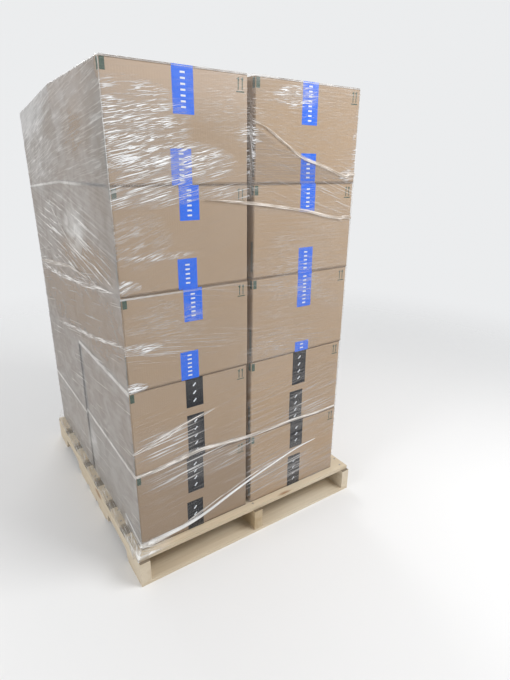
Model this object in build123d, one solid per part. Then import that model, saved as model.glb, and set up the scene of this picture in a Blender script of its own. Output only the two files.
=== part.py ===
from build123d import *
import os

# A pallet load of corrugated cartons held together by stretch film. All lengths are
# in millimetres. The origin is on the floor under the centre of the pallet, +X runs to
# the right along the front of the load, +Y runs to its back and +Z is up.

# Pallet
pallet_width = 1016.0
pallet_depth = 1219.0
stringer_width = 38.0
stringer_height = 89.0
notch_length = 229.0
notch_height = 38.0
notch_from_end = 152.0
notch_radius = 19.0
top_board_thickness = 16.0
bottom_board_thickness = 13.0
lead_board_width = 140.0
deck_board_width = 110.0
base_board_width = 100.0
middle_top_boards = 5
middle_bottom_boards = 3
lead_board_setback = 13.0

# Cartons
carton_width = 445.0
carton_depth = 584.0
carton_height = 313.0
board_thickness = 4.0
crease_bevel = 2.5
fold_bevel = 2.5
flap_seam = 2.0
flap_setback = 1.0
tier_count = 5
front_setback = 45.0
row_gap = 3.0
left_faces = [29.0, 32.0, 35.0, 34.0, 33.0]
column_gaps = [23.0, 20.0, 21.0, 26.0, 29.0]
tier_advances = [0.0, 1.5, 0.5, 2.0, 1.0]
# The rear left column has settled: how far each carton's top lies below its tier's
rear_left_drops = [24.0, 29.0, 34.0, 39.0, 44.0]

# Tape: how far each strip laps down, or up, the two ends of its carton, from tier 1 up
tape_width = 66.0
tape_thickness = 0.15
top_laps = {"left": [147, 109, 109, 102, 123], "right": [124, 143, 131, 95, 128]}
bottom_laps = {"left": [125, 174, 101, 96, 100], "right": [150, 142, 41, 92, 97]}
top_offsets = {"left": [1, 8, 12, 14, 8], "right": [7, 8, 12, 7, -4]}
bottom_offsets = {"left": [-6, 8, -9, -1, -6], "right": [0, -2, 11, 8, -1]}

# Stretch film, with its turns pressed into one sheet
film_thickness = 0.3
film_clearance = 0.3
film_corner_radius = 2.0
film_lip = 70.0
skirt_rise = 70.0
skirt_drop = 22.0

deck_top = bottom_board_thickness + stringer_height + top_board_thickness
tier_pitch = carton_height + 2 * tape_thickness
first_carton_base = deck_top + tape_thickness
load_top = first_carton_base + tier_count * tier_pitch - tape_thickness
columns = ["left", "right"]
rows = ["front", "rear"]
stringer_centres = {
    "left": (stringer_width - pallet_width) / 2,
    "middle": 0.0,
    "right": (pallet_width - stringer_width) / 2,
}

os.makedirs("parts", exist_ok=True)


def save(node, *solids):
    """Write one node: its only solid, or all of its separate solids together."""
    shape = solids[0] if len(solids) == 1 else Compound(children=list(solids))
    export_step(shape, f"parts/{node}.step")


def block(x_range, y_range, z_range):
    """A plain box between two limits on each axis."""
    limits = [x_range, y_range, z_range]
    size = [high - low for low, high in limits]
    centre = [(low + high) / 2 for low, high in limits]
    return Pos(*centre) * Box(*size)


def stringer(centre_x):
    """A notched stringer: two rounded notches let fork arms in from the side."""
    beam = block(
        (centre_x - stringer_width / 2, centre_x + stringer_width / 2),
        (-pallet_depth / 2, pallet_depth / 2),
        (bottom_board_thickness, bottom_board_thickness + stringer_height),
    )
    notch_centre = pallet_depth / 2 - notch_from_end - notch_length / 2
    cutter = Box(2 * stringer_width, notch_length, 2 * notch_height)
    cutter = fillet(cutter.edges().filter_by(Axis.X), notch_radius)
    for side in (-1, 1):
        beam -= Pos(centre_x, side * notch_centre, bottom_board_thickness) * cutter
    return beam


def spread(count, first_end, last_end, width):
    """Centres of the boards that share the room between two lead boards evenly."""
    gap = (last_end - first_end - count * width) / (count + 1)
    return [first_end + gap + width / 2 + i * (width + gap) for i in range(count)]


def save_boards(layer, width, middle_count, low_z, thickness, lead_setback, room):
    """One layer of boards: a wide lead board at each end and narrower ones between."""
    half = pallet_width / 2
    lead_centre = pallet_depth / 2 - lead_setback - lead_board_width / 2
    places = [(f"{layer}_lead_board_front", -lead_centre, lead_board_width)]
    for i, y in enumerate(spread(middle_count, -room / 2, room / 2, width), start=1):
        places.append((f"{layer}_board_{i}", y, width))
    places.append((f"{layer}_lead_board_rear", lead_centre, lead_board_width))
    for node, y, board_width in places:
        save(node, block(
            (-half, half),
            (y - board_width / 2, y + board_width / 2),
            (low_z, low_z + thickness),
        ))


def carton(height):
    """A closed slotted carton, centred in plan on its own base at z = 0.

    The end panels face front and back. Their short flaps fold in under the two long
    flaps, which meet along the middle and show their cut edges at both ends.
    """
    wall_height = height - 2 * board_thickness
    body = Pos(0, 0, height / 2) * Box(carton_width, carton_depth, wall_height)
    body = chamfer(body.edges().filter_by(Axis.X), fold_bevel)
    body = chamfer(body.edges().filter_by(Axis.Z), crease_bevel)
    flap_width = (carton_width - flap_seam) / 2
    flap_length = carton_depth - 2 * flap_setback
    with BuildSketch(Plane.XZ) as section:
        with BuildLine():
            seam_x = carton_width / 2 - flap_width
            fold_x = carton_width / 2 - board_thickness
            Polyline((carton_width / 2, 0), (seam_x, 0), (seam_x, board_thickness),
                     (fold_x, board_thickness))
            RadiusArc((fold_x, board_thickness), (carton_width / 2, 0), board_thickness)
        make_face()
    flap = extrude(section.sketch, flap_length / 2, both=True)
    flap_top = Pos(0, 0, height - board_thickness) * flap
    flap_bottom = Pos(0, 0, board_thickness) * mirror(flap, Plane.XY)
    for piece in (flap_top, flap_bottom):
        body += piece
        body += mirror(piece, Plane.YZ)
    return body


def tape_strip(height, lap, offset, upwards):
    """A strip along the seam of a carton's top, or bottom, and down over both ends."""
    outer = block(
        (offset - tape_width / 2, offset + tape_width / 2),
        (-carton_depth / 2 - tape_thickness, carton_depth / 2 + tape_thickness),
        (height - lap, height + tape_thickness),
    )
    inner = block(
        (offset - tape_width, offset + tape_width),
        (-carton_depth / 2, carton_depth / 2),
        (0, height),
    )
    strip = outer - inner
    if upwards:
        strip = Pos(0, 0, height) * mirror(strip, Plane.XY)
    return strip


def settled(tier, column, row):
    """How far the top of a carton lies below its tier's top."""
    is_settled = tier >= 0 and column == "left" and row == "rear"
    return rear_left_drops[tier] if is_settled else 0.0


def carton_place(tier, column, row):
    """The centre of a carton's base on its tier."""
    left = left_faces[tier] - pallet_width / 2
    if column == "right":
        left += carton_width + column_gaps[tier]
    front = front_setback + tier_advances[tier] - pallet_depth / 2
    if row == "rear":
        front += carton_depth + row_gap
    base = first_carton_base + tier * tier_pitch - settled(tier - 1, column, row)
    return Pos(left + carton_width / 2, front + carton_depth / 2, base)


def tier_outline(tier):
    """Left, right, front and back limits of one tier, with its tape."""
    left = left_faces[tier] - pallet_width / 2
    right = left + 2 * carton_width + column_gaps[tier]
    front = front_setback + tier_advances[tier] - pallet_depth / 2
    back = front + 2 * carton_depth + row_gap
    return left, right, front - tape_thickness, back + tape_thickness


def film_section(tiers, z, outset):
    """The film's outline at one height, stretched round the tiers that meet there."""
    outlines = [tier_outline(tier) for tier in tiers]
    left = min(outline[0] for outline in outlines) - outset
    right = max(outline[1] for outline in outlines) + outset
    front = min(outline[2] for outline in outlines) - outset
    back = max(outline[3] for outline in outlines) + outset
    centre = Pos((left + right) / 2, (front + back) / 2, z)
    corner = film_corner_radius + outset - film_clearance
    return centre * RectangleRounded(right - left, back - front, corner)


def film_body(outset, low_z, high_z):
    """A solid sleeve through every seam between tiers, filled inside."""
    sections = [film_section([0], low_z, outset)]
    for tier in range(1, tier_count):
        seam_z = first_carton_base + tier * tier_pitch
        sections.append(film_section([tier - 1, tier], seam_z, outset))
    sections.append(film_section([tier_count - 1], high_z, outset))
    return loft(sections, ruled=True)


def settled_roof(top):
    """The plane from two level cartons' edges down to the settled column's corner."""
    left, right, front, back = tier_outline(tier_count - 1)
    corner = Vector(left, back, top - rear_left_drops[-1])
    beside = Vector(left, front + carton_depth + row_gap, top)
    behind = Vector(right - carton_width, back, top)
    return Plane(origin=corner, x_dir=beside - corner,
                 z_dir=(beside - corner).cross(behind - corner))


def film_sleeve():
    """The film round the load, folded in over the edge of the top tier.

    Where the rear left column has settled, the film slopes down to its corner.
    """
    outer_set = film_clearance + film_thickness
    low_z = deck_top + film_clearance
    inner_top = load_top + tape_thickness + film_clearance
    outer_top = inner_top + film_thickness
    outside = film_body(outer_set, low_z, outer_top)
    inside = film_body(film_clearance, low_z - film_thickness, inner_top)
    sleeve = split(outside, bisect_by=settled_roof(outer_top), keep=Keep.BOTTOM)
    sleeve -= split(inside, bisect_by=settled_roof(inner_top), keep=Keep.BOTTOM)
    left, right, front, back = tier_outline(tier_count - 1)
    mouth = Pos((left + right) / 2, (front + back) / 2, inner_top) * RectangleRounded(
        right - left - 2 * film_lip, back - front - 2 * film_lip, film_lip / 2)
    return sleeve - extrude(mouth, film_lip, both=True)


def film_skirt():
    """The film's lowest turn, pulled down from the load over the deck's left end."""
    load_x = left_faces[0] - pallet_width / 2 - film_clearance - film_thickness
    edge_x = -pallet_width / 2 - film_clearance
    fold_z = deck_top + film_clearance
    front, back = -pallet_depth / 2 + lead_board_setback, pallet_depth / 2
    with BuildSketch(Plane.XZ) as section:
        with BuildLine():
            Polyline(
                (load_x, fold_z + skirt_rise),
                (edge_x, fold_z),
                (edge_x, fold_z - skirt_drop),
                (edge_x - film_thickness, fold_z - skirt_drop),
                (edge_x - film_thickness, fold_z + film_thickness),
                (load_x, fold_z + skirt_rise + 4 * film_thickness),
                close=True,
            )
        make_face()
    skirt = extrude(section.sketch, (back - front) / 2, both=True)
    return Pos(0, (front + back) / 2, 0) * skirt


for name, centre_x in stringer_centres.items():
    save(f"stringer_{name}", stringer(centre_x))

save_boards("top", deck_board_width, middle_top_boards, deck_top - top_board_thickness,
            top_board_thickness, lead_board_setback,
            pallet_depth - 2 * (lead_board_setback + lead_board_width))
save_boards("bottom", base_board_width, middle_bottom_boards, 0, bottom_board_thickness,
            0, pallet_depth - 2 * (notch_from_end + notch_length))

cartons = {}
for tier in range(tier_count):
    for column in columns:
        for row in rows:
            place = carton_place(tier, column, row)
            label = f"{tier + 1}_{column}_{row}"
            drop = settled(tier, column, row) - settled(tier - 1, column, row)
            height = carton_height - drop
            if height not in cartons:
                cartons[height] = carton(height)
            save(f"carton_{label}", place * cartons[height])
            top_strip = tape_strip(
                height, top_laps[column][tier], top_offsets[column][tier], False)
            bottom_strip = tape_strip(
                height, bottom_laps[column][tier], bottom_offsets[column][tier], True)
            save(f"tape_{label}", place * top_strip, place * bottom_strip)

save("stretch_film", film_sleeve())
save("film_skirt", film_skirt())
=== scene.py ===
# %% [markdown]
# A pallet load: twenty corrugated cartons on a notched wooden pallet, taped shut and
# held together by many turns of clear stretch film. The construction is already there
# as a fixed frame. This notebook gives it its finishes, and adds what is too thin or too
# soft for the frame: the film with its pleats, the printed marks and the nails.

# %% Load the frame
import math

import bmesh
import bpy
from mathutils import Matrix, Vector, noise


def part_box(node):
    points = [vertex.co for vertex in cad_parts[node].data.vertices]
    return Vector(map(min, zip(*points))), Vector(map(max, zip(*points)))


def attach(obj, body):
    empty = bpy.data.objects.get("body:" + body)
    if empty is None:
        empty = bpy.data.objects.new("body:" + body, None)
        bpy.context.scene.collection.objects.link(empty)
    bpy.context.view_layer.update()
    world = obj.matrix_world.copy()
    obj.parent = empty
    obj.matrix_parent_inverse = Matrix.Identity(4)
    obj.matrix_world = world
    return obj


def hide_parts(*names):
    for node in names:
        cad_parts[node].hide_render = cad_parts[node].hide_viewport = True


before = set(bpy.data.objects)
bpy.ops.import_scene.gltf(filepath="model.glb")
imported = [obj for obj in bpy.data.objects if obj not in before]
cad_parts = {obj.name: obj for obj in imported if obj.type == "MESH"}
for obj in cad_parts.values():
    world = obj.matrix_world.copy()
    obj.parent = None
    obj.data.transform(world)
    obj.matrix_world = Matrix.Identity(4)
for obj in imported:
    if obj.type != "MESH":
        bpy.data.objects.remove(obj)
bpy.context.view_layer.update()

# %% [markdown]
# The camera stands at the photograph's viewpoint: left of the load, at head height,
# looking down a little. Its place and turn come from the pallet's corners and notches.
# A rotation matrix with the camera's right, up and backward directions as its columns
# says all of that at once, and the roll turns the first two about the third.

# %% Camera
camera_place = Vector((-0.893, -1.8845, 1.421))
camera_yaw = math.radians(34.21)
camera_pitch = math.radians(20.22)
camera_roll = math.radians(0.50)
focal_pixels = 467.4
photo_height = 680
sensor_long_side = 36.0

ahead = Vector((math.sin(camera_yaw) * math.cos(camera_pitch),
                math.cos(camera_yaw) * math.cos(camera_pitch),
                -math.sin(camera_pitch)))
level_right = Vector((math.cos(camera_yaw), -math.sin(camera_yaw), 0))
right = Matrix.Rotation(-camera_roll, 3, ahead) @ level_right
up = right.cross(ahead)
camera_data = bpy.data.cameras.new("camera")
camera_data.sensor_width = sensor_long_side
camera_data.lens = focal_pixels / photo_height * sensor_long_side
camera = bpy.data.objects.new("camera", camera_data)
turn = Matrix((right, up, -ahead)).transposed()
camera.matrix_world = Matrix.Translation(camera_place) @ turn.to_4x4()
bpy.context.scene.collection.objects.link(camera)
bpy.context.scene.camera = camera
bpy.context.scene.view_settings.view_transform = "Standard"
print("camera lens", round(camera_data.lens, 2), "mm")

# %% [markdown]
# A shader is a formula drawn as nodes. Writing it as a formula is easier to read, so one
# small class wraps an output socket and lets Python's own signs add the Math nodes. The
# Finish class holds one material, adds any other node, and feeds the shader.

# %% Shader formulas
class Value:
    """An output socket that can be used in a Python formula."""

    def __init__(self, tree, socket):
        self.tree = tree
        self.socket = socket

    def math(self, operation, *others):
        """A Math node with this value first, which every operator below uses."""
        node = self.tree.nodes.new("ShaderNodeMath")
        node.operation = operation
        for slot, value in zip(node.inputs, (self, *others)):
            plug(self.tree, value, slot)
        return Value(self.tree, node.outputs[0])

    def __add__(self, other):
        return self.math("ADD", other)

    def __sub__(self, other):
        return self.math("SUBTRACT", other)

    def __mul__(self, other):
        return self.math("MULTIPLY", other)

    def __truediv__(self, other):
        return self.math("DIVIDE", other)

    def __pow__(self, other):
        return self.math("POWER", other)

    def __rsub__(self, other):
        return self.math("MULTIPLY", -1.0).math("ADD", other)

    __radd__ = __add__
    __rmul__ = __mul__


def plug(tree, value, slot):
    """Set a socket to a number or a colour, or link a Value to it."""
    if isinstance(value, Value):
        tree.links.new(value.socket, slot)
    else:
        slot.default_value = value


class Finish:
    """One material: a Principled shader and the nodes that feed it."""

    def __init__(self, name, **plain):
        self.material = bpy.data.materials.new(name)
        self.material.use_nodes = True
        self.tree = self.material.node_tree
        self.shader = self.tree.nodes["Principled BSDF"]
        for socket, value in plain.items():
            self.shader.inputs[socket.replace("_", " ")].default_value = value

    def node(self, kind, settings, inputs, output=0):
        """Any other node, from its type, its settings and what its sockets take."""
        made = self.tree.nodes.new("ShaderNode" + kind)
        for name, value in settings.items():
            setattr(made, name, value)
        for name, value in inputs.items():
            plug(self.tree, value, made.inputs[name])
        return Value(self.tree, made.outputs[output])

    def feed(self, socket, value):
        """Set or link one of the shader's own sockets."""
        plug(self.tree, value, self.shader.inputs[socket])

    def place(self, scale):
        """The point on the piece, stretched by a scale along each axis."""
        point = self.node("TexCoord", {}, {}, "Object")
        return self.node("Mapping", {}, {"Vector": point, "Scale": scale})

    def grain(self, scale, detail=3.0, warp=0.0):
        """Noise from 0 to 1, with its lumps 1 / scale long on each axis."""
        return self.node("TexNoise", {}, {
            "Vector": self.place(scale), "Scale": 1.0,
            "Detail": detail, "Distortion": warp})

    def ease(self, value, low, high, start=0.0, end=1.0):
        """A smooth step from start to end as the value goes from low to high."""
        return self.node("MapRange", {"interpolation_type": "SMOOTHSTEP"}, {
            "Value": value, "From Min": low, "From Max": high,
            "To Min": start, "To Max": end})

    def mix(self, share, first, second):
        """A colour between two others."""
        made = self.tree.nodes.new("ShaderNodeMix")
        made.data_type = "RGBA"
        for slot, value in ((0, share), (6, first), (7, second)):
            plug(self.tree, value, made.inputs[slot])
        return Value(self.tree, made.outputs[2])

    def bump(self, height, distance, strength):
        """Relief in the light only, too fine for the mesh."""
        self.feed("Normal", self.node("Bump", {}, {
            "Height": height, "Distance": distance, "Strength": strength}))

    def separate(self, coordinates="Object"):
        """The three numbers of the point, the normal or the UV map, one by one."""
        point = self.node("TexCoord", {}, {}, coordinates)
        made = self.tree.nodes.new("ShaderNodeSeparateXYZ")
        self.tree.links.new(point.socket, made.inputs[0])
        return [Value(self.tree, output) for output in made.outputs]


print("shader helpers ready")

# %% [markdown]
# New pallet boards are pale pine. Sawn wood shows rings stretched out along its length,
# fine pores, a few darker knots and streaks, and a rough saw face. The rings are a noise
# that is long in the grain's direction, read again as bands. Boards lie across the
# pallet and stringers run from front to back, so the recipe takes the grain's direction.
# It gives four finishes: the deck boards, the outer stringers, which are paler, the
# middle one, darker as painted shade, and the bottom boards, paler as painted light. A
# tone below 1 is paler and one above 1 darker. The stringers' tops, seen between the
# boards, are darkened by painted shade and by dust.

# %% Pine
# How far under the stringers' tops their painted shade and dust start and are full.
shade_and_dust_start, shade_and_dust_full = 0.002, 0.001


def pine(name, along_x, tone=1.0, shaded_dusty_above=None):
    """Sawn pine with its grain along x or y; the tone makes it paler or darker."""
    wood = Finish(name, Roughness=0.72, Specular_IOR_Level=0.3)

    def lengthwise(long, across):
        return (long, across, across) if along_x else (across, long, across)

    figure = wood.grain(lengthwise(0.9, 22.0), 2.0, warp=0.4)
    rings = (figure * 22.0).math("SINE") * 0.5 + 0.5
    pores = wood.grain(lengthwise(7.0, 420.0), 3.0)
    stain = wood.grain(lengthwise(1.6, 6.5), 2.0)
    colour = wood.mix(rings * 0.55, (0.61, 0.51, 0.37, 1), (0.51, 0.405, 0.27, 1))
    colour = wood.mix(wood.ease(pores, 0.5, 0.75) * 0.45, colour, (0.36, 0.25, 0.14, 1))
    colour = wood.mix(wood.ease(stain, 0.45, 0.72) * 0.45, colour, (0.66, 0.59, 0.47, 1))
    knots = wood.node("TexVoronoi", {}, {
        "Vector": wood.place(lengthwise(2.2, 7.5)), "Scale": 1.0, "Randomness": 1.0})
    knot = wood.ease(knots, 0.07, 0.12, 1.0, 0.0)
    colour = wood.mix(knot * 0.8, colour, (0.25, 0.12, 0.05, 1))
    colour = wood.node("Gamma", {}, {"Color": colour, "Gamma": tone})
    # Painted shade and dust: the stringers' tops between the boards are darkened, mostly for
    # the shade that the boards and film cast there.
    if shaded_dusty_above:
        upwards = wood.ease(wood.separate("Normal")[2], 0.8, 0.9)
        shade_and_dust = wood.ease(wood.separate()[2], shaded_dusty_above - shade_and_dust_start,
                         shaded_dusty_above - shade_and_dust_full)
        colour = wood.mix(shade_and_dust * upwards * 0.8, colour, (0.10, 0.075, 0.05, 1))
    wood.feed("Base Color", colour)
    wood.bump(pores * 0.7 + rings * 0.3 - knot * 0.5, 0.0007, 0.7)
    return wood.material


board_pine = pine("board_pine", True)
stringer_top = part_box("stringer_left")[1][2]
stringer_pine = pine("stringer_pine", False, 0.82, stringer_top)
# Painted shade: the middle stringer is darker.
shaded_middle_pine = pine("shaded_middle_pine", False, 1.35, stringer_top)
# Painted light: the bottom boards are paler.
lit_pale_pine = pine("lit_pale_pine", True, 0.90)
print("pine finishes", board_pine.name, stringer_pine.name, shaded_middle_pine.name,
      lit_pale_pine.name)

# %% [markdown]
# Kraft liner is a matt brown paper with fine fibres, cloudy patches and, very faintly,
# the stripes of the fluting underneath. The flutes stand upright in a carton's walls,
# so the stripes are a wave across x and y. The cut edge of a flap shows the fluting
# itself, as a row of dark cells just under the top and over the bottom of each end, and
# only on upright faces; that dark row is also painted shade in the seams between the
# cartons. The column at the back left has settled, so its seams lie lower than the
# others. The right columns' board is a little warmer. In the left front column the
# highest carton is paler towards its top, a painted light from above, and the lowest
# one is darker, a painted shade towards the floor.

# %% Carton board
flute_pitch = 0.0078
board_thickness = 0.004
dark_brown, light_brown = (0.325, 0.235, 0.158), (0.395, 0.292, 0.202)
# Where the painted light on the highest carton starts and is full, below its top.
painted_light_from, painted_light_to = 0.17, 0.02


def carton_board(name, column, tint=(1.0, 1.0, 1.0), painted_light_top=0.0, painted_shade_foot=0.0):
    """Board for one column, with cut edges where each of its cartons begins and ends."""
    darker, lighter = (
        tuple(channel * share for channel, share in zip(brown, tint)) + (1,)
        for brown in (dark_brown, light_brown))
    board = Finish(name, Roughness=0.78, Specular_IOR_Level=0.25)
    x, y, z = board.separate()
    fibres = board.grain((160.0, 160.0, 420.0), 4.0)
    clouds = board.grain((3.1, 3.1, 2.3), 3.0)
    specks = board.grain((900.0, 900.0, 900.0), 1.0)
    fluting = ((x + y) * (2 * math.pi / flute_pitch)).math("SINE")
    flutes = fluting * 0.5 + 0.5
    colour = board.mix(clouds, darker, lighter)
    colour = board.mix(fibres * 0.35, colour, (0.47, 0.36, 0.26, 1))
    colour = board.mix(board.ease(specks, 0.68, 0.8) * 0.35, colour, (0.20, 0.12, 0.07, 1))
    boxes = [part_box(f"carton_{i}_{column}") for i in range(1, 6)]
    top, lowest_top = boxes[-1][1][2], boxes[0][1][2]
    upright = board.ease(board.separate("Normal")[2].math("ABSOLUTE"), 0.5, 0.6, 1.0, 0.0)
    # Painted light: the highest carton is paler towards its top.
    lit_top = board.ease(z, top - painted_light_from, top - painted_light_to) * upright
    colour = board.mix(lit_top * painted_light_top, colour, (0.60, 0.47, 0.37, 1))
    # Painted shade: the lowest carton is darker.
    shaded_lowest = board.ease(z, lowest_top + 0.001, lowest_top - 0.001)
    colour = board.mix(shaded_lowest * painted_shade_foot, colour, (0.16, 0.12, 0.09, 1))
    from_seam = (z - top).math("ABSOLUTE")
    for box in boxes:
        from_seam = from_seam.math("MINIMUM", (z - box[0][2]).math("ABSOLUTE"))
    # The cut edges' dark cells, which are also painted shade in the seams between the
    # cartons.
    cut_edge_and_seam_shade = board.ease(from_seam, board_thickness * 0.5, board_thickness, 1.0, 0.0)
    cells = fluting * 0.2 + 0.7
    colour = board.mix(cut_edge_and_seam_shade * cells * upright, colour, (0.060, 0.038, 0.022, 1))
    board.feed("Base Color", colour)
    board.feed("Roughness", clouds * 0.12 + 0.70)
    board.bump(flutes * 0.35 + fibres * 0.4, 0.00035, 0.6)
    return board.material


kraft = carton_board("carton_board", "left_front", painted_light_top=0.5, painted_shade_foot=0.28)
warm_kraft = carton_board("warm_board", "right_front", (1.08, 1.05, 1.0))
settled_kraft = carton_board("settled_board", "left_rear")
print("carton finishes", kraft.name, warm_kraft.name, settled_kraft.name)

# %% [markdown]
# The tape is a printed plastic strip with a satin face. It takes on the board's fine
# unevenness, and long faint ripples where it was laid down by hand. An image could carry
# both, but stretched noise needs no unwrapping and is different on every strip.

# %% Tape
def tape_finish(name, dark, light):
    """Satin tape whose colour wanders between a darker and a lighter shade."""
    tape = Finish(name, Specular_IOR_Level=0.25, Coat_Weight=0.08, Coat_Roughness=0.2)
    wear = tape.grain((60.0, 60.0, 60.0), 3.0)
    ripples = tape.grain((14.0, 14.0, 90.0), 2.0)
    tape.feed("Base Color", tape.mix(wear, dark, light))
    tape.feed("Roughness", wear * 0.2 + 0.25)
    tape.bump(ripples, 0.0008, 0.35)
    return tape.material


blue_tape = tape_finish("blue_tape", (0.004, 0.112, 0.70, 1), (0.012, 0.16, 0.82, 1))
black_tape = tape_finish("black_tape", (0.004, 0.005, 0.008, 1), (0.010, 0.012, 0.018, 1))
print("tape finishes", blue_tape.name, black_tape.name)

# %% [markdown]
# The frame's pieces are named for what they are, so the start of a name says which
# finish a piece gets. The two film pieces get none, because the web that is wound on
# below takes their place.

# %% Dress the frame's own pieces
black_taped = ("tape_1", "tape_2")
named_finishes = [
    ("stringer_middle", shaded_middle_pine), ("stringer", stringer_pine),
    ("top_", board_pine), ("bottom_", lit_pale_pine),
    (black_taped, black_tape), ("tape", blue_tape),
]


def finish_for(name):
    """The finish that a frame piece's name calls for, or None for the film."""
    if name.startswith("carton"):
        if "right" in name:
            return warm_kraft
        return settled_kraft if name.endswith("left_rear") else kraft
    for start, finish in named_finishes:
        if name.startswith(start):
            return finish
    return None


dressed = 0
for name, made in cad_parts.items():
    finish = finish_for(name)
    if finish:
        made.data.materials.clear()
        made.data.materials.append(finish)
        dressed += 1
print("dressed", dressed, "of the frame's pieces")

# %% [markdown]
# Everything else is modelled here. Each new piece starts in a bmesh and ends as an
# object at the origin, in metres, that rides on the load's one body.

# %% Finish a piece
def add_piece(name, bm, material, smooth=False):
    """Make a bmesh into an object with one finish that belongs to the load."""
    mesh = bpy.data.meshes.new(name)
    bm.to_mesh(mesh)
    bm.free()
    mesh.materials.append(material)
    mesh.polygons.foreach_set("use_smooth", [smooth] * len(mesh.polygons))
    piece = bpy.data.objects.new(name, mesh)
    bpy.context.scene.collection.objects.link(piece)
    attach(piece, "root")
    print(name, "has", len(mesh.polygons), "faces")
    return piece


# %% [markdown]
# Nails hold each deck board to each stringer: three in a lead board and two in the
# others. Only their flat heads show, a little proud of the deck and just inside the
# undersides that lie on the floor, so each is a shallow round with ten sides. There are
# more than eighty of them, which is why they share one mesh and have few faces.

# %% Nails
nail_radius = 0.0042
nail_rise = 0.0006
nail_inset = 0.022
nail_stagger = 0.006

nails = bmesh.new()
steel = Finish("nail_steel", Metallic=1.0, Base_Color=(0.36, 0.34, 0.32, 1))
steel.feed("Roughness", steel.grain((500.0, 500.0, 500.0)) * 0.4 + 0.3)
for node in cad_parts:
    if not node.startswith(("top_", "bottom_")):
        continue
    low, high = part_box(node)
    level = high[2] + nail_rise / 2 if node.startswith("top") else low[2] + nail_rise / 2
    rows = 3 if "lead" in node else 2
    for name in ("stringer_left", "stringer_middle", "stringer_right"):
        beam_low, beam_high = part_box(name)
        for i in range(rows):
            y = low[1] + nail_inset + i / (rows - 1) * (high[1] - low[1] - 2 * nail_inset)
            x = (beam_low[0] + beam_high[0]) / 2 + nail_stagger * (2 * (i % 2) - 1)
            bmesh.ops.create_cone(nails, cap_ends=True, segments=10, radius1=nail_radius,
                                  radius2=nail_radius, depth=nail_rise,
                                  matrix=Matrix.Translation((x, y, level)))
add_piece("nail_heads", nails, steel.material)

# %% [markdown]
# Stretch film comes off a roll as a wide flat web and is walked round the load many
# times. It is modelled the same way: a flat grid, as long as the way round the load and
# as high as the wrap, is wound on by moving each of its points. A point's first number
# says how far round it is and its second how high it is, so pleats, streaks and creases
# can be drawn on the flat web, where pulling it tight makes them, and go on with it.

# %% The load's outline
tiers = [(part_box(f"carton_{i}_left_front"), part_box(f"carton_{i}_right_rear"))
         for i in range(1, 6)]
load_base = tiers[0][0][0][2]
load_top = tiers[-1][0][1][2]
tier_height = (load_top - load_base) / len(tiers)
load_width = tiers[0][1][1][0] - tiers[0][0][0][0]
load_depth = tiers[0][1][1][1] - tiers[0][0][0][1]
way_round = 2 * (load_width + load_depth)
left_face = way_round - load_depth
film_gap = 0.0011


def outline(z):
    """Left, front, right and back limits of the load at one height."""
    share = min(max((z - load_base) / tier_height, 0.0), len(tiers) - 0.001)
    seam, blend = int(share), share - int(share)

    def limits(level):
        near = [tiers[i] for i in (level - 1, level) if 0 <= i < len(tiers)]
        return (min(t[0][0][0] for t in near), min(t[0][0][1] for t in near),
                max(t[1][1][0] for t in near), max(t[1][1][1] for t in near))

    return [a + (b - a) * blend for a, b in zip(limits(seam), limits(seam + 1))]


corner_low, corner_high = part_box("carton_5_left_rear")
settled_drop = load_top - corner_high[2]
behind_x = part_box("carton_5_right_rear")[0][0]


def roof_share(x, y):
    """How high the film's rim stands there, as a share of the load's level height."""
    nearness = 1 - (corner_high[1] - y) / (corner_high[1] - corner_low[1]) - (
        x - corner_low[0]) / (behind_x - corner_low[0])
    return 1 - settled_drop * max(nearness, 0.0) / (load_top - load_base)


def on_load(u, v, lift):
    """The point u round the load from its front left corner and v above the floor."""
    over = max(v - load_top, 0.0)
    left, front, right_side, back = outline(min(v, load_top))
    out = film_gap + lift if over == 0 else -over
    left, front = left - out, front - out
    right_side, back = right_side + out, back + out
    z = v if over == 0 else load_top + film_gap + lift
    u = u % way_round
    for length, start, end in (
            (load_width, (left, front), (right_side, front)),
            (load_depth, (right_side, front), (right_side, back)),
            (load_width, (right_side, back), (left, back)),
            (load_depth, (left, back), (left, front))):
        if u <= length:
            share = u / length
            x = start[0] + (end[0] - start[0]) * share
            y = start[1] + (end[1] - start[1]) * share
            return Vector((x, y, load_base + (z - load_base) * roof_share(x, y)))
        u -= length
    return Vector((left, front, z))


print("way round the load", round(way_round, 3), "m")

# %% [markdown]
# Clear film is seen by what it reflects: it is almost nothing over a flat face, milky
# where many turns lie on each other, and white along every pleat, where the web is
# doubled and catches the light. That white is painted into the film's colour and alpha,
# so it is a painted highlight as well as doubled film. Alpha carries all of this as a
# number on the flat web's own UV map, in metres: a haze, plus streaks that are long round
# the load and thin in height, thickest where the pull of winding bunched the web.

# %% Film drawn on the flat web
top_tier_low = load_base + 4 * tier_height


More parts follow.
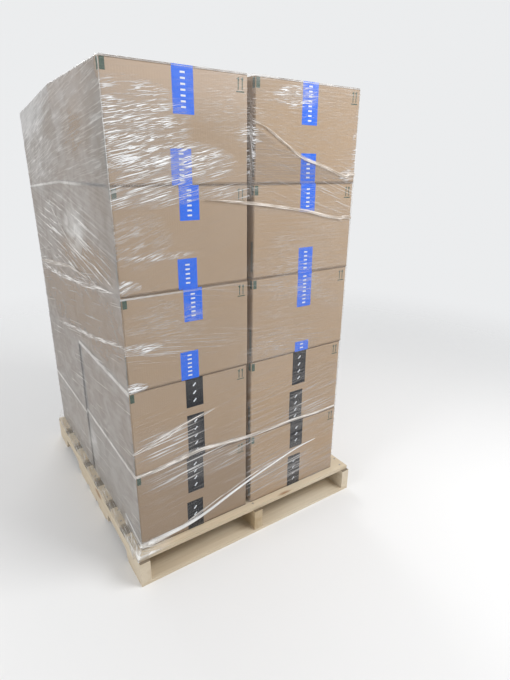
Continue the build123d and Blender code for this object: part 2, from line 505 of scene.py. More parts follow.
class WebFinish(Finish):
    """A film finish that is drawn on the flat web, in metres."""

    def __init__(self, name):
        super().__init__(name, Specular_IOR_Level=0.6)
        self.u, self.v, _ = self.separate("UV")
        self.z = self.v + load_base

    def slanted(self, rise, long, thin, detail=2.0, shift=0.0):
        """Noise drawn out along a line that climbs by rise for each metre round."""
        point = self.node("CombineXYZ", {}, {
            "X": self.u * long + shift, "Y": (self.v - self.u * rise) * thin})
        return self.node("TexNoise", {}, {"Vector": point, "Scale": 1.0, "Detail": detail})

    def patch(self, u, z, half_width, half_height, pull=1.0):
        """A soft oval on the web."""
        across = ((self.u - u) / half_width) ** 2.0
        height = ((self.z - z) / half_height) ** 2.0
        return (1.0 - across - height).math("MAXIMUM", 0.0) * pull

    def patches(self, first, *others):
        """Soft ovals added up, each with the numbers that patch takes."""
        total = self.patch(*first)
        for other in others:
            total = total + self.patch(*other)
        return total

    def line(self, value, centre, half, strength=1.0):
        """A soft line where the value is near a centre."""
        return self.ease((value - centre).math("ABSOLUTE"), half * 0.4, half, strength, 0.0)


print("top tier from", round(top_tier_low, 3), "m up")

# %% [markdown]
# On the front the pull of winding bunched the web in patches, most of them at the left,
# and left it nearly clear in between. A list of soft ovals says where, which is easier to
# place and to move than a painted mask. Each row is metres round, metres up, half width,
# half height and pull.

# %% Front film: where the web is bunched
bunched_patches = [
    (0.06, 1.53, 0.20, 0.12, 0.95), (0.17, 1.43, 0.24, 0.07, 1.0),
    (0.08, 1.345, 0.20, 0.042, 0.85), (0.36, 1.350, 0.16, 0.030, 0.4),
    (0.06, 1.22, 0.12, 0.09, 0.16), (0.10, 1.168, 0.17, 0.014, 0.5),
    (0.015, 1.085, 0.055, 0.024, 1.1), (0.05, 0.888, 0.08, 0.022, 0.7),
    (0.63, 1.638, 0.10, 0.040, 0.75), (0.40, 1.58, 0.14, 0.08, 0.08),
    (0.455, 1.46, 0.020, 0.14, 0.45), (0.14, 0.95, 0.16, 0.08, 0.1),
    (0.10, 0.52, 0.20, 0.09, 0.8), (0.24, 0.40, 0.28, 0.08, 0.9),
    (0.78, 0.50, 0.22, 0.13, 0.35), (0.68, 1.54, 0.26, 0.14, 0.03),
    (0.60, 0.24, 0.24, 0.12, 0.5), (0.70, 1.08, 0.24, 0.10, 0.02),
    (0.905, 1.47, 0.018, 0.16, 0.4), (0.88, 1.40, 0.05, 0.03, 0.9),
    (0.01, 0.76, 0.06, 0.02, 1.0), (0.45, 1.52, 0.06, 0.05, 0.5),
]
right_column_from, right_column_to = 0.448, 0.462
corner_blend = 0.01

film = WebFinish("front_film")
beyond = film.ease(film.u, load_width - corner_blend, load_width + corner_blend)
right_column = film.ease(film.u, right_column_from, right_column_to)
high_up = film.ease(film.z, 0.64, 0.73)
clouds = film.slanted(0.2, 3.0, 8.0, 4.0)
bunched = film.ease(film.slanted(0.0, 2.2, 3.4), 0.50, 0.68, 0.0, 0.8) * (
    beyond * 0.85 + 0.10)
for patch in bunched_patches:
    bunched = bunched.math("MAXIMUM", film.patch(*patch))
print(len(bunched_patches), "bunched patches on the front")

# %% [markdown]
# A pleat shows as a thin white line. Each kind of pleat is a noise drawn out along its
# own slope and cut at a threshold, so that only its crests are left. They follow the
# climb of the turns, which changes with the height, and they show in clumps and only
# where the web is bunched.

# %% Front film: climbing pleats
climb = film.ease(film.z, 0.95, 1.13, 0.05, 0.36) - film.ease(
    film.z, 1.22, 1.42, 0.0, 0.10) - film.ease(film.z, 1.43, 1.62, 0.0, 0.13)
climb = climb * (1.0 - right_column) + right_column * 0.05
clumps = film.ease(film.slanted(climb, 8.0, 34.0), 0.34, 0.50)
gentle = film.ease(film.slanted(climb, 20.0, 290.0, 1.0), 0.58, 0.625)
steep = film.ease(film.slanted(climb + 0.12, 25.0, 330.0, 1.0, 7.0), 0.58, 0.63)
long = film.ease(film.slanted(climb - 0.03, 10.0, 260.0, 1.0, 4.0), 0.575, 0.625) * (
    film.ease(film.z, 1.53, 1.45))
short = gentle.math("MAXIMUM", steep) * (
    film.ease(film.z, 1.25, 1.30, 1.0, 0.45) + film.ease(film.z, 1.38, 1.47, 0.0, 0.55))
climbing = short.math("MAXIMUM", long) * clumps * (bunched ** 0.5) * high_up
print("climbing pleats on the upper tiers")

# %% [markdown]
# Lower down the turns lie level. Elsewhere a few lines fall or cross the others, where a
# turn was started or let go. The film also catches the light where it is pulled over an
# edge: at the load's corners, under the fourth tier and round the top.

# %% Front film: level turns, crossings and edges
level = film.ease(film.slanted(0.13, 3.6, 150.0, 2.0, 3.0), 0.55, 0.64)
falling = film.ease(film.slanted(-0.33, 6.0, 150.0, 2.0, 5.0), 0.56, 0.66)
crossing = film.ease(film.slanted(-0.15, 4.0, 200.0, 2.0, 13.0), 0.55, 0.63)
low_turns = (1.0 - high_up) * (bunched * 0.75 + clouds * 0.25)
white = climbing + level * low_turns + falling * film.patches(
    (0.64, 1.41, 0.26, 0.17, 0.18), (0.84, 1.33, 0.12, 0.12, 0.4))
white = white + crossing * film.patches(
    (0.20, 0.865, 0.34, 0.055, 0.42), (0.30, 1.03, 0.40, 0.035, 0.25),
    (0.68, 0.80, 0.26, 0.05, 0.35))
edges = film.line(film.u, load_width, 0.005) + film.line(film.u, 0.0, 0.003)
edges = edges * film.ease(film.z, 1.05, 1.38, 0.10, 0.6) * (clouds + 0.1)
caught = film.line(film.z, load_base + 3 * tier_height - 0.006, 0.0045) * (
    film.ease(film.u, 0.0, 0.50, 0.55, 0.0)) + film.line(film.z, load_top, 0.006, 0.5)
white = (white + edges + caught * (clouds + 0.4)).math("MINIMUM", 1.0)
print("level turns, crossings and bright edges")

# %% [markdown]
# Between the pleats the film is a faint haze with finer threads in it, least over the
# right column's upper cartons. There a turn has slipped down in a slant, and below its
# rolled edge the film lies double and looks darker. Alpha adds all of this up, and the
# colour goes from a grey haze to white along the pleats.

# %% Front film: haze and finish
slip_start, slip_bend, slip_fall, slip_rest = 0.46, 0.66, 0.50, 0.28
slip_top, slip_edge = 1.541, 0.012
seam_blend = 0.004

strands = film.ease(film.slanted(climb - 0.05, 5.0, 210.0, 3.0, 11.0), 0.42, 0.66)
threads = film.ease(film.slanted(-0.02, 2.2, 240.0, 2.0, 15.0), 0.44, 0.62)
low_threads = film.ease(film.slanted(0.10, 3.0, 190.0, 2.0, 17.0), 0.48, 0.60)
haze = bunched * (strands * 0.20 + 0.20) * (high_up * 0.4 + 0.6) + clouds * (
    high_up * 0.06 + 0.05) + strands * high_up * clouds * 0.10 + (
    threads * right_column * high_up * 0.09)
haze = haze * (1.0 - film.patch(0.70, 1.46, 0.34, 0.20, 0.8))
haze = haze + low_threads * (1.0 - high_up) * clouds * (right_column * 0.32 + 0.10)
fallen = (film.u - slip_start).math("MINIMUM", slip_bend - slip_start) * slip_fall + (
    film.u - slip_bend).math("MAXIMUM", 0.0) * slip_rest
doubled = film.ease(film.z + fallen, slip_top + slip_edge, slip_top) * film.ease(
    film.z, top_tier_low - seam_blend, top_tier_low + seam_blend) * (
    right_column) * (1.0 - beyond)
film.feed("Alpha", (white * 0.9 + haze + doubled * (threads * 0.16 + 0.10)).math(
    "MINIMUM", 0.94))
colour = film.mix(doubled, (0.62, 0.59, 0.565, 1), (0.33, 0.30, 0.28, 1))
# Painted highlight: the film turns white along its pleats and edges.
film.feed("Base Color", film.mix(white, colour, (0.97, 0.98, 0.99, 1)))
film.feed("Roughness", 0.30 - white * 0.12)
film.bump(film.slanted(climb, 14.0, 150.0) + film.slanted(-0.2, 9.0, 90.0) * 0.6,
          0.0025, 0.8)
front_film = film.material
print("finish", front_film.name)

# %% [markdown]
# The left side is milky and creased all over, with the board showing through only here
# and there, so its haze is much thicker than the front's. The top tier has creases that
# rise, the fourth a fan of lines that falls, and the lower tiers calm level turns. The
# distance back along it is counted from the load's front left corner.

# %% Side film: bands of creases
film = WebFinish("side_film")
back = film.u * -1.0 + way_round
top_tier = film.ease(film.z, top_tier_low - 0.03, top_tier_low + 0.05)
fourth = film.ease(film.z, top_tier_low - 0.33, top_tier_low - 0.22) * (1.0 - top_tier)
lower = 1.0 - top_tier - fourth
crinkle = film.node("TexNoise", {}, {
    "Vector": film.node("CombineXYZ", {}, {"X": film.u * 9.0, "Y": film.v * 13.0}),
    "Scale": 1.0, "Detail": 4.0, "Distortion": 1.2})
rising = film.slanted(0.12, 7.0, 52.0, 4.0)
fan = film.slanted(-0.17, 4.0, 100.0, 3.0, 2.0)
calm = film.slanted(0.10, 4.0, 70.0, 3.0, 5.0)
fine = film.ease(film.slanted(0.10, 7.0, 170.0, 2.0, 6.0), 0.52, 0.64)
low_lines = film.ease(film.slanted(0.14, 3.0, 150.0, 2.0, 9.0), 0.63, 0.70)
fan_place = film.patch(way_round - 0.62, 1.14, 0.62, 0.20)
streaks = rising * top_tier + fan * fourth + (calm * 0.3 + 0.35) * lower
lines = film.ease(fan, 0.57, 0.63) * fan_place * 1.1 + (
    film.ease(rising, 0.58, 0.70) * 0.25 + fine * 0.30) * top_tier + low_lines * lower * 0.6
clouds = film.slanted(0.1, 3.2, 4.5, 3.0, 1.0)
print("side film in three bands")

# %% [markdown]
# The film bridges the seams between the tiers and the gap between the two rows. Pulled
# over a seam it catches the light, a painted highlight, and over the open gap it is
# darkened with painted shade. The rear row has settled, so its seams lie lower. Ovals
# say where the web is blotched with white and where its turns are thin.

# %% Side film: seams, gaps and patches
front_row_end, row_blend = 0.585, 0.01
settled_seam = 0.020
second_seam = load_base + tier_height
third_seam = load_base + 2 * tier_height

in_front_row = film.ease(back, front_row_end + row_blend, front_row_end - row_blend)
seam_drop = (1.0 - in_front_row) * settled_seam
seam_edge = film.line(film.z, third_seam - 0.003, 0.011) * in_front_row + film.line(
    film.z + seam_drop, second_seam - 0.003, 0.011)
top_seam = film.line(film.z, top_tier_low - 0.004, 0.006, 0.9) * (
    film.ease(back, 0.20, 0.40))
on_left = film.ease(back, load_depth + 0.004, load_depth - 0.004)
seam_edge = (seam_edge + top_seam) * on_left * (crinkle + 0.25)
# Painted shade: dark over the gap between the rows, and along the top tier's seam near the
# front corner.
row_gap_shade = film.line(back, load_depth / 2, 0.022, 1.4) * film.ease(
    film.z, third_seam, third_seam - 0.02)
row_gap_shade = row_gap_shade + film.line(film.z, top_tier_low, 0.006) * film.ease(
    back, 0.32, 0.18) * film.ease(back, 0.02, 0.06)
blotch = film.patches(
    (way_round - 0.46, 1.20, 0.17, 0.11, 1.5), (way_round - 0.54, 0.28, 0.10, 0.08, 1.0),
    (way_round - 0.95, 1.52, 0.30, 0.20, 0.4))
slumped = film.patch(left_face, load_top, 0.62, 0.15, 0.5)
thin_turns = film.patches(
    (way_round - 0.36, 1.12, 0.42, 0.085, 0.34),
    (way_round - 0.50, 0.90, 0.90, 0.18, 0.27),
    (way_round, load_top - 0.022, 0.035, 0.04, 0.5),
    (way_round - 0.30, 1.53, 0.20, 0.10, 0.20))
print("seams at", round(second_seam, 3), round(third_seam, 3), round(top_tier_low, 3))

# %% [markdown]
# The side's alpha is at least about a third, and milk, clouds and white creases add to
# it, except where the turns are thin. The creases' white is partly a painted highlight,
# and a white line up the front corner of the top tier is a painted highlight. Its colour
# is a warm grey, with painted shade towards the front corner of the upper tiers, where
# the load turns from the light, and paler on the lowest tier.

# %% Side film: finish
white = lines * (clouds * 0.9 + 0.3) + blotch * crinkle * 0.6 + seam_edge * (
    clouds * 0.7 + 0.25)
# A painted highlight up the front corner of the top tier.
white = (white + film.line(back, 0.0, 0.004) * top_tier * 0.4).math("MINIMUM", 1.0)
milk = film.ease(streaks, 0.3, 0.7) * 0.45 + film.ease(crinkle, 0.3, 0.7) * 0.55
film.feed("Alpha", (milk * 0.16 + clouds * 0.22 + white * 0.6 + 0.35 + slumped - thin_turns
                    + row_gap_shade * 0.42).math("MINIMUM", 0.93).math("MAXIMUM", 0.1))
colour = film.mix(milk, (0.41, 0.395, 0.385, 1), (0.585, 0.570, 0.560, 1))
shaded = film.ease(back, 0.24, 0.02) * (top_tier * 0.6 + fourth * 0.35)
colour = film.mix(shaded, colour, (0.27, 0.26, 0.245, 1))
pale = film.ease(film.z, second_seam, second_seam - 0.08)
colour = film.mix(pale * 0.45, colour, (0.66, 0.66, 0.65, 1))
# Painted shade over the gap between the rows.
colour = film.mix(row_gap_shade * 0.75, colour, (0.06, 0.05, 0.045, 1))
# Painted highlight: white along the creases and seams.
film.feed("Base Color", film.mix(white, colour, (0.90, 0.87, 0.82, 1)))
film.feed("Roughness", 0.38 - white * 0.15)
film.bump(streaks * 0.7 + crinkle * 0.8, 0.005, 0.7)
side_film = film.material
print("finish", side_film.name)

# %% [markdown]
# A rolled edge is the web gathered into a loose rope of strands. On its UV map it is as
# long as it is on the load and always of one width, so one recipe fits them all: alpha
# fades towards both sides, and bright strands run along the middle, their white partly a
# painted highlight. The fewer turns are rolled up in it, the less it hides, which the
# least alpha says.

# %% Rolled film
rolled_width_on_web = 0.012
strand_alpha = 0.96


def rolled_finish(name, body_colour, crest_highlight_colour, least_alpha):
    """A rope of film, from the colour of its body to the painted highlight of its bright
    strands.
    """
    film = WebFinish(name)
    across = (film.v / rolled_width_on_web - 0.5) * 2.0
    body = (1.0 - across ** 2.0).math("MAXIMUM", 0.0)
    strands = film.slanted(0.012, 9.0, 330.0, 3.0)
    bright = film.ease(strands, 0.42, 0.62)
    film.feed("Alpha", (body ** 0.4) * (bright * (strand_alpha - least_alpha) + least_alpha))
    # Painted highlight: the strands' bright colour.
    film.feed("Base Color", film.mix(bright, body_colour, crest_highlight_colour))
    film.feed("Roughness", 0.30 - bright * 0.1)
    film.bump(strands, 0.0015, 0.6)
    return film.material


cream_edge = rolled_finish("cream_edge", (0.50, 0.42, 0.34, 1), (0.80, 0.73, 0.66, 1), 0.55)
white_edge = rolled_finish("white_edge", (0.72, 0.67, 0.62, 1), (0.97, 0.93, 0.89, 1), 0.24)
soft_edge = rolled_finish("soft_edge", (0.74, 0.67, 0.60, 1), (0.98, 0.94, 0.90, 1), 0.48)
bright_edge = rolled_finish("bright_edge", (0.92, 0.92, 0.92, 1), (1.0, 1.0, 1.0, 1), 0.80)
print("rolled finishes", cream_edge.name, white_edge.name, soft_edge.name, bright_edge.name)

# %% [markdown]
# The web is pulled tight, so it is flat between its pleats and each pleat is a low sharp
# ridge. One minus the distance of a noise from its middle value makes such ridges, and a
# high power keeps only their crests. Slanting the noise makes the pleats climb.

# %% Wind the film on
film_lip = 0.075
lip_ripple = 0.0035
gather_height, cross_height = 0.0011, 0.0009
merge_within = 0.0002
web_height = load_top - load_base + film_lip
columns_round, rows_high = 480, 190


def pleats(u, v, rise, long, thin, sharpness, seed):
    """Height from 0 to 1 of the ridges that climb by rise for each metre round."""
    value = noise.noise(Vector((u * long, (v - u * rise) * thin, seed)))
    return max(1.0 - abs(value) * 2.2, 0.0) ** sharpness


def web_lift(u, v):
    """How far the web stands off the load at one point."""
    gathers = gather_height * pleats(u, v, 0.12, 2.6, 34.0, 7, 1.0)
    crosses = cross_height * pleats(u, v, -0.35, 2.0, 19.0, 9, 5.0)
    return gathers + crosses


def ragged(along, frequency, seed):
    """The share, about a half to one, of a hem's full depth at one place along it."""
    return 0.75 + 0.5 * noise.noise(Vector((along * frequency, 0.0, seed)))


def flat_web(bm, across, up, columns, rows):
    """A flat grid with its lower left corner at zero, and its UV map in metres."""
    bmesh.ops.create_grid(bm, x_segments=columns, y_segments=rows, size=0.5, calc_uvs=True)
    bmesh.ops.scale(bm, vec=(across, up, 1), verts=bm.verts)
    bmesh.ops.translate(bm, vec=(across / 2, up / 2, 0), verts=bm.verts)
    uv_map = bm.loops.layers.uv.verify()
    for face in bm.faces:
        for loop in face.loops:
            loop[uv_map].uv = loop.vert.co.xy


web = bmesh.new()
flat_web(web, way_round, web_height, columns_round, rows_high)
for face in web.faces:
    u = face.calc_center_median().x
    face.material_index = 0 if u < load_width + load_depth else 1
for vert in web.verts:
    u, v = vert.co.x, vert.co.y + load_base
    if v > load_top:
        v = load_top + (v - load_top) * ragged(u, 9.0, 3.0)
        lift = lip_ripple * pleats(u, v, 0.0, 30.0, 4.0, 2, 8.0)
    else:
        lift = web_lift(u, v)
    vert.co = on_load(u, v, lift)
bmesh.ops.remove_doubles(web, verts=web.verts, dist=merge_within)
bmesh.ops.recalc_face_normals(web, faces=web.faces)
film_piece = add_piece("wrapped_film", web, front_film, smooth=True)
film_piece.data.materials.append(side_film)
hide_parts("stretch_film")

# %% [markdown]
# Where a turn of film ends or slips, its edge rolls into a rope that runs over the
# load: a narrow band, gathered lengthwise, nearly white. Each one follows a few chosen
# points, given as metres round the load and metres above the floor, and is wound on as
# the web is, a little further out. Then come its widths at the start and the end, and
# its thickness. A smooth curve through the points needs far fewer of them than a mesh.

# %% A rolled edge
band_columns, band_rows = 120, 14
band_gap = 0.0008
drift_share = 0.12
path_samples = 40


def smooth_path(points, t):
    """A point on a smooth curve through the points, for t from 0 to 1."""
    place = t * (len(points) - 1)
    i = min(int(place), len(points) - 2)
    f = place - i
    last = len(points) - 1
    a, b, c, d = (Vector(points[min(max(i + k, 0), last)]) for k in (-1, 0, 1, 2))
    return 0.5 * (2 * b + (c - a) * f + (2 * a - 5 * b + 4 * c - d) * f * f
                  + (3 * b - a - 3 * c + d) * f ** 3)


def rolled_edge(name, points, start_width, end_width, thickness, finish):
    """A gathered band along the points, narrowing from its start to its end."""
    band = bmesh.new()
    flat_web(band, 1.0, 1.0, band_columns, band_rows)
    widths = []
    for vert in band.verts:
        t, s = vert.co.x, vert.co.y - 0.5
        u, v = smooth_path(points, t)
        taper = min(1.0, 4 * t, 8 * (1 - t)) ** 0.8
        width = (end_width + (start_width - end_width) * (1 - t) ** 1.6) * taper
        widths.append(width)
        phase = s * 22.0 + 5.0 * noise.noise(Vector((t * 6.0, 0, s * 2)))
        strands = 0.5 + 0.5 * math.sin(phase)
        crown = max(1 - (2 * s) ** 2, 0.0) ** 0.5
        lift = band_gap + thickness * crown * (0.55 + 0.45 * strands)
        drift = drift_share * width * noise.noise(Vector((t * 5.0, 2.0, 0.0)))
        vert.co = on_load(u, v + s * width + drift, lift)
    stops = [smooth_path(points, i / path_samples) for i in range(path_samples + 1)]
    length = sum((later - earlier).length for earlier, later in zip(stops, stops[1:]))
    piece = add_piece(name, band, finish, smooth=True)
    for loop in piece.data.uv_layers[0].data:
        loop.uv = (loop.uv[0] * length, loop.uv[1] * rolled_width_on_web)
    mean_width = sum(widths) / len(widths)


print("rolled edges get", band_columns * band_rows, "faces each")

# %% [markdown]
# Six ropes cross the front, and three of them go on round the hidden right side. Four
# run along the left side, where they mark the ends of turns in the third and fourth
# tiers. The lowest one is the widest and the brightest, because it holds the most film
# and its white is a painted highlight.

# %% Rolled edges
rolled_edge("edge_low", [(-0.16, 0.172), (-0.01, 0.138), (0.09, 0.140), (0.235, 0.160),
                         (0.455, 0.233), (0.67, 0.292), (0.80, 0.312)],
            0.042, 0.006, 0.003, bright_edge)
rolled_edge("edge_low_upper", [(0.10, 0.140), (0.21, 0.168), (0.33, 0.212), (0.50, 0.262),
                               (0.62, 0.285)], 0.016, 0.005, 0.0015, white_edge)
rolled_edge("edge_seam", [(-0.07, 0.445), (0.01, 0.432), (0.14, 0.440), (0.26, 0.455),
                          (0.45, 0.440), (0.70, 0.444), (0.90, 0.442), (1.30, 0.47)],
            0.024, 0.012, 0.0012, soft_edge)
rolled_edge("edge_second", [(-0.01, 0.520), (0.09, 0.546), (0.19, 0.580), (0.31, 0.606)],
            0.036, 0.012, 0.0010, white_edge)
rolled_edge("edge_high", [(0.46, 1.556), (0.51, 1.541), (0.575, 1.503), (0.66, 1.456),
                          (0.755, 1.428), (0.86, 1.395), (0.905, 1.40), (1.2, 1.37)],
            0.009, 0.016, 0.003, cream_edge)
rolled_edge("edge_fourth", [(0.29, 1.328), (0.36, 1.322), (0.42, 1.316), (0.54, 1.301),
                            (0.67, 1.282), (0.84, 1.247), (0.905, 1.246), (1.25, 1.20)],
            0.009, 0.015, 0.003, cream_edge)
rolled_edge("edge_side_upper", [(left_face + 0.30, 1.34), (left_face + 0.62, 1.16),
                                (left_face + 0.95, 1.11), (left_face + 1.12, 1.075)],
            0.012, 0.010, 0.0012, white_edge)
rolled_edge("edge_side_middle", [(left_face + 0.01, 1.015), (left_face + 0.30, 1.035),
                                 (left_face + 0.60, 1.055), (left_face + 0.85, 1.052)],
            0.036, 0.010, 0.0015, cream_edge)
rolled_edge("edge_side_third", [(left_face + 0.02, 1.005), (left_face + 0.30, 0.995),
                                (left_face + 0.68, 1.012), (left_face + 1.12, 1.062)],
            0.034, 0.018, 0.0012, white_edge)
rolled_edge("edge_side_second", [(left_face + 0.24, 0.749), (left_face + 0.80, 0.83),
                                 (left_face + 1.16, 0.903)], 0.022, 0.015, 0.0012,
            white_edge)

# %% [markdown]
# The lowest turn is pulled down from the load over the deck's left end and round its
# front corner, so that it ties the cartons to the pallet. It is a strip of web whose
# upper edge lies on the load and whose lower edge hangs ragged over the boards' ends. A
# cloth simulation could drop it there, but a formula for each point puts the hem and its
# long tail near the corner exactly where they belong.

# %% The skirt over the deck's end
deck_low, deck_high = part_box("top_lead_board_front")
deck_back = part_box("top_lead_board_rear")[1][1]
skirt_rise = 0.060
skirt_front = 0.150
skirt_length = load_depth + skirt_front
skirt_width = 0.105
skirt_gap = 0.0012
start_rise = 0.004
rim_share = 0.6
ripple = 0.0035
hem_drop, front_loss = 0.024, 0.012
tail_drop, tail_from_corner, tail_half = 0.030, 0.07, 0.03
skirt_columns, skirt_rows = 260, 20


def over_deck(t, s):
    """A point of the skirt: t along it from the back, s from the load to the hem."""
    along = t * skirt_length
    past_corner = along - load_depth
    share = max(past_corner, 0.0) / skirt_front
    near = on_load(past_corner if past_corner > 0 else left_face + along,
                   deck_high[2] + skirt_rise * (1 - share) + start_rise, 0.0)
    if past_corner > 0:
        rim = Vector((deck_low[0] + share * (near.x - deck_low[0]), deck_low[1] - skirt_gap,
                      deck_high[2] + skirt_gap))
    else:
        rim = Vector((deck_low[0] - skirt_gap,
                      deck_back + (deck_low[1] - deck_back) * along / load_depth,
                      deck_high[2] + skirt_gap))
    if s < rim_share:
        wave = noise.noise(Vector((along * 13.0, s * 2.0, 4.0)))
        point = near.lerp(rim, s / rim_share)
        point.z += ripple * wave * math.sin(math.pi * s / rim_share)
        return point
    tail = tail_drop * math.exp(-((past_corner + tail_from_corner) / tail_half) ** 2)
    drop = (hem_drop + tail - front_loss * share) * ragged(along, 21.0, 9.0)
    return rim - Vector((0, 0, (s - rim_share) / (1 - rim_share) * drop))


skirt = bmesh.new()
flat_web(skirt, 1.0, 1.0, skirt_columns, skirt_rows)
for vert in skirt.verts:
    vert.co = over_deck(vert.co.x, vert.co.y)
bmesh.ops.recalc_face_normals(skirt, faces=skirt.faces)
print("the skirt goes", round(skirt_length, 3), "m along the deck's edge")

# %% [markdown]
# The skirt is white along its folds and where it bends over the boards' ends, most of all
# near the front corner; that white is a painted highlight. It fades out where it joins the
# web and at its front end.

# %% The skirt's finish
film = WebFinish("skirt_film")
folds = film.slanted(0.0, 26.0, 30.0, 3.0)
lines = film.ease(film.slanted(0.12, 8.0, 260.0), 0.55, 0.66)
bend_highlight = film.line(film.v, skirt_width * 0.62, skirt_width * 0.12)
corner = film.ease(film.u, skirt_length - 0.40, skirt_length - skirt_front)
white = lines * 0.6 + film.ease(folds, 0.50, 0.64) * (corner * 0.5 + 0.2)
white = (white + bend_highlight * (corner * 0.4 + 0.2)).math("MINIMUM", 1.0)
joined = film.ease(film.v, 0.0, 0.03) * film.ease(film.u, skirt_length, skirt_length - 0.10)
film.feed("Alpha", (white * 0.6 + corner * 0.12 + 0.13).math("MINIMUM", 0.9) * joined)
# Painted highlight: white along the folds and the bend over the boards' ends.
film.feed("Base Color", film.mix(white, (0.62, 0.58, 0.52, 1), (0.96, 0.96, 0.95, 1)))
film.feed("Roughness", 0.34 - white * 0.12)
film.bump(folds, 0.004, 0.8)

skirt_piece = add_piece("deck_film", skirt, film.material, smooth=True)
for loop in skirt_piece.data.uv_layers[0].data:
    loop.uv = (loop.uv[0] * skirt_length, loop.uv[1] * skirt_width)
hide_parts("film_skirt")

# %% [markdown]
# Printing is ink on the board or the tape, with no thickness that shows. Each mark is a
# flat shape laid a tenth of a millimetre off its face: a unit square or circle, put in
# place by one matrix whose columns are the face's own right, up and outward directions.
# Shapes stay sharp from near by, where an image of such small print would blur.

# %% Stamps
ink_lift = 0.00012
facings = {
    "front": (Vector((1, 0, 0)), Vector((0, -1, 0))),
    "back": (Vector((-1, 0, 0)), Vector((0, 1, 0))),
    "left": (Vector((0, -1, 0)), Vector((-1, 0, 0))),
    "right": (Vector((0, 1, 0)), Vector((1, 0, 0))),
}


def stamp(bm, facing, centre, width, height, lift, sides=4, turn=0.0):
    """A flat rectangle, or a round shape with more sides, on one face."""
    across, outward = facings[facing]
    frame_of_face = Matrix((across, Vector((0, 0, 1)), outward)).transposed().to_4x4()
    place = (Matrix.Translation(Vector(centre) + outward * lift) @ frame_of_face
             @ Matrix.Rotation(turn, 4, "Z") @ Matrix.Diagonal((width, height, 1, 1)))
    if sides == 4:
        bmesh.ops.create_grid(bm, x_segments=1, y_segments=1, size=0.5, matrix=place)
    else:
        bmesh.ops.create_circle(bm, cap_ends=True, segments=sides, radius=0.5, matrix=place)


print("faces that take print:", ", ".join(facings))

# %% [markdown]
# A dark green patch wraps each carton's upper left corner, two arrows by the upper right
# corner point up from a line, and a pale strip of print stands low on the side. All of
# them are generic, so rectangles and triangles are enough. The strip's fine lines are a
# wave in its ink, because there are too many of them to stamp.

# %% Carton inks
print_line_density = 900.0
ink = Finish("green_ink", Roughness=0.6)
ink.feed("Base Color", ink.mix(ink.ease(ink.grain((420.0, 420.0, 420.0)), 0.45, 0.7),
                               (0.020, 0.055, 0.036, 1), (0.07, 0.12, 0.085, 1)))
grey_ink = Finish("grey_ink", Roughness=0.6)
print_lines = (grey_ink.separate()[2] * print_line_density).math("SINE")
grey_ink.feed("Base Color", grey_ink.mix(
    grey_ink.ease(print_lines, -0.2, 0.5), (0.10, 0.12, 0.10, 1), (0.24, 0.20, 0.15, 1)))
print("inks", ink.material.name, grey_ink.material.name)

# %% Carton marks
patch_width, patch_height, patch_drop, crease = 0.014, 0.030, 0.005, 0.0026
arrow_height, arrow_gap, arrow_from_edge, arrow_drop = 0.032, 0.014, 0.026, 0.014
stroke, head_size, head_drop, head_lift = 0.0034, 0.013, 0.003, ink_lift * 1.5
under_line_gap, under_line_length = 0.005, arrow_gap * 2.1
strip_width, strip_height, strip_from_edge, strip_rise = 0.014, 0.105, 0.012, 0.075

marks, strips = bmesh.new(), bmesh.new()
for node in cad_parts:
    if not node.startswith("carton"):
        continue
    low, high = (Vector(corner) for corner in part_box(node))
    face, side = ("front", "left") if node.endswith("front") else ("back", "right")
    across, outward = facings[face]
    corner = Vector((low.x, low.y, high.z)) if face == "front" else high.copy()
    far_corner = corner + across * (high.x - low.x)
    patch = corner + Vector((0, 0, -patch_drop - patch_height / 2))
    from_corner = patch_width / 2 + crease
    stamp(marks, face, patch + across * from_corner, patch_width, patch_height, ink_lift)
    stamp(marks, side, patch - outward * from_corner, patch_width, patch_height, ink_lift)
    for i in (0, 1):
        tip = far_corner - across * (arrow_from_edge + (i - 0.5) * arrow_gap) - Vector(
            (0, 0, arrow_drop))
        stamp(marks, face, tip - Vector((0, 0, arrow_height / 2)), stroke, arrow_height,
              ink_lift)
        stamp(marks, face, tip - Vector((0, 0, head_drop)), head_size, head_size, head_lift,
              sides=3, turn=math.pi / 2)
    line = far_corner - across * arrow_from_edge - Vector(
        (0, 0, arrow_drop + arrow_height + under_line_gap))
    stamp(marks, face, line, under_line_length, stroke, ink_lift)
    strip = corner - outward * strip_from_edge - Vector((0, 0, high.z - low.z - strip_rise))
    stamp(strips, side, strip, strip_width, strip_height, ink_lift)
add_piece("carton_marks", marks, ink.material)
add_piece("side_print", strips, grey_ink.material)

# %% [markdown]
# Both tapes carry plain white bars: short level ones on the blue and slanted ones on the
# black. They fill the part of each strip that laps over the carton's end, so the lap is
# found first, from the levels of the tape's own points on that face.

# %% Find the tape's laps
face_tolerance = 0.0001


def strip_limits(node, front, top):
    """Left, right, low and high limits of one strip's lap on an end of its carton."""
    low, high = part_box(node)
    limit = low[1] if front else high[1]
    laps = [v.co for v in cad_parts[node].data.vertices
            if abs(v.co.y - limit) < face_tolerance]
    levels = sorted({round(p.z, 4) for p in laps})
    low_z, high_z = levels[-2:] if top else levels[:2]
    across = [p.x for p in laps if round(p.z, 4) in (low_z, high_z)]
    return min(across), max(across), low_z, high_z, limit


print("a lap from", strip_limits("tape_5_left_front", True, True))

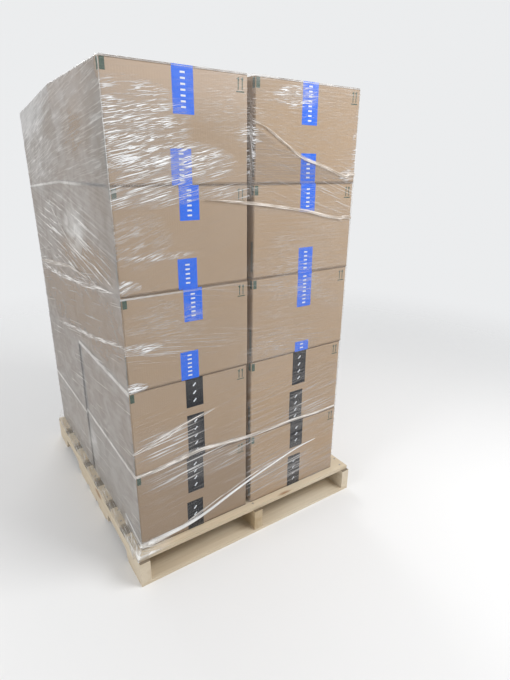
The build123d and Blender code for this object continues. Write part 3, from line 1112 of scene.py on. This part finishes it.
# %% Tape marks
white_ink = Finish("white_ink", Roughness=0.4)
white_ink.feed("Base Color", white_ink.mix(white_ink.grain((300.0, 300.0, 300.0)),
                                           (0.62, 0.66, 0.72, 1), (0.80, 0.83, 0.87, 1)))
bars = bmesh.new()
bar_pitch, bar_width, bar_height = 0.0145, 0.0150, 0.0050
slant_pitch, slant_angle = 0.030, 0.8
end_margin = 0.012
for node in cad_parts:
    if not node.startswith("tape"):
        continue
    is_front = node.endswith("front")
    face = "front" if is_front else "back"
    blue = not node.startswith(black_taped)
    pitch = bar_pitch if blue else slant_pitch
    for top in (True, False):
        left_limit, right_limit, low_z, high_z, y = strip_limits(node, is_front, top)
        x, length = (left_limit + right_limit) / 2, high_z - low_z
        count = int((length - end_margin) / pitch)
        for i in range(count):
            z = (low_z + high_z) / 2 + (i - (count - 1) / 2) * pitch
            stamp(bars, face, (x, y, z), bar_width, bar_height, ink_lift,
                  turn=0.0 if blue else slant_angle)
add_piece("tape_bars", bars, white_ink.material)

# %% [markdown]
# The load stands on a plain pale floor that fades out with distance, so that it meets the
# pale backdrop without a horizon. It is stage and not part of the load.

# %% Floor
fade_start, fade_end = 1.4, 4.2
floor_reach = 30.0
floor_material = Finish("floor", Base_Color=(0.80, 0.80, 0.80, 1), Roughness=0.9)
across, along, _ = floor_material.separate()
distance = (across ** 2.0 + along ** 2.0).math("SQRT")
floor_material.feed("Alpha", floor_material.ease(distance, fade_start, fade_end, 1.0, 0.0))
ground = bmesh.new()
bmesh.ops.create_grid(ground, x_segments=1, y_segments=1, size=floor_reach)
ground_mesh = bpy.data.meshes.new("floor")
ground.to_mesh(ground_mesh)
ground.free()
ground_mesh.materials.append(floor_material.material)
floor = bpy.data.objects.new("floor", ground_mesh)
bpy.context.scene.collection.objects.link(floor)
print("floor fades out from", fade_start, "to", fade_end, "m")

# %% [markdown]
# The world lights the load softly from all sides. A backdrop no brighter than that would
# look grey, so rays that come from the camera, or from glossy and clear surfaces, see it
# nearly white. Light Path tells those rays from the ones that only carry light.

# %% Backdrop
sky_light, sky_seen = 0.5, 0.95
world = bpy.data.worlds.new("studio")
world.use_nodes = True
sky = world.node_tree.nodes["Background"]
sky.inputs[0].default_value = (0.88, 0.89, 0.90, 1)
path = world.node_tree.nodes.new("ShaderNodeLightPath")
seen = Value(world.node_tree, path.outputs["Is Camera Ray"])
for ray in ("Is Glossy Ray", "Is Transmission Ray"):
    seen = seen.math("MAXIMUM", Value(world.node_tree, path.outputs[ray]))
plug(world.node_tree, seen * (sky_seen - sky_light) + sky_light, sky.inputs[1])
bpy.context.scene.world = world
print("backdrop", sky_seen, "and sky light", sky_light)

# %% [markdown]
# Three large lamps shape the load: the key from the front right, a weaker one on the
# left side, and one behind it that draws the film's edges out. Large lamps give the soft
# shadows of a studio, and long soft highlights along the pleats.

# %% Lamps
def softbox(name, place, aim, width, height, power):
    """A large soft lamp at one place, turned to face another."""
    data = bpy.data.lights.new(name, "AREA")
    data.shape = "RECTANGLE"
    data.size, data.size_y = width, height
    data.energy = power
    lamp = bpy.data.objects.new(name, data)
    facing = (Vector(aim) - Vector(place)).to_track_quat("-Z", "Y")
    lamp.matrix_world = Matrix.Translation(place) @ facing.to_matrix().to_4x4()
    bpy.context.scene.collection.objects.link(lamp)


softbox("key_lamp", (1.6, -2.3, 2.9), (0.1, -0.5, 1.2), 2.0, 1.4, 88)
softbox("fill_lamp", (-3.6, -0.6, 2.8), (-0.4, 0, 0.9), 2.0, 2.0, 60)
softbox("back_lamp", (0.5, 3.6, 3.6), (0, 0.3, 1.0), 2.4, 1.6, 70)
print("three lamps ready")
